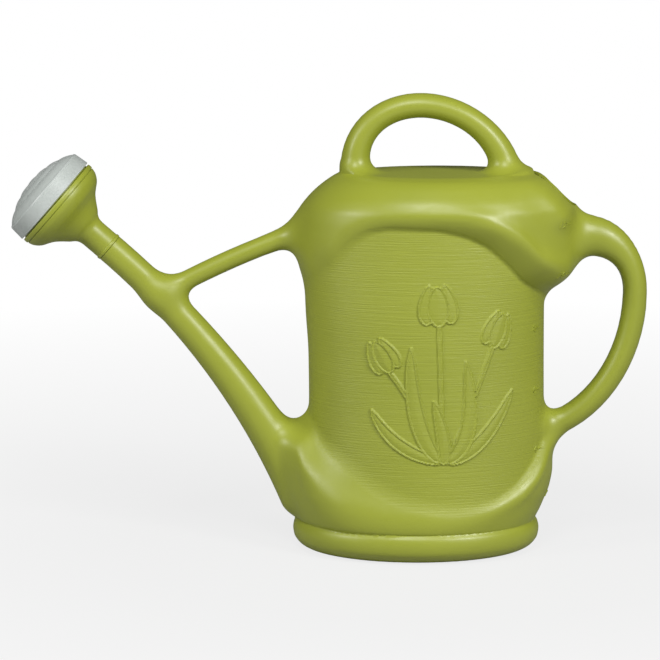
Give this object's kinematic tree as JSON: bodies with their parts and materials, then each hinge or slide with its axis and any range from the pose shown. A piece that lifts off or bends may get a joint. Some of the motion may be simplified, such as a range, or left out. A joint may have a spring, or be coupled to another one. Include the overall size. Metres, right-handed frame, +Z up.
{
  "type": "watering can",
  "caption": "Blow-moulded poly watering can with an oval tank, braced long spout, top and rear handles, and a pull-off sprinkler rose with a ridged spray face.",
  "frame": {"origin": "middle of the foot's oval outline, on the ground", "axes": "+Z up, -X towards the spout, +X towards the rear handle, Y across the can"},
  "size_m": [0.6461, 0.191, 0.4681],
  "materials": {
    "green_poly": "satin olive-green polyethylene",
    "pale_poly": "translucent pale grey polyethylene"
  },
  "bodies": {
    "can": {"tank": "green_poly", "spout": "green_poly", "spout_brace": "green_poly", "top_handle": "green_poly", "rear_handle": "green_poly"},
    "rose": {"rose_cone": "green_poly"},
    "face": {"rose_face": "pale_poly"}
  },
  "joints": [
    {"name": "rose_pull", "type": "slide", "parent": "can", "child": "rose", "axis": [-0.7542, 0, 0.6567], "range_m": [0, 0.035]},
    {"name": "face_pull", "type": "slide", "parent": "rose", "child": "face", "axis": [-0.7542, 0, 0.6567], "range_m": [0, 0.02]}
  ]
}
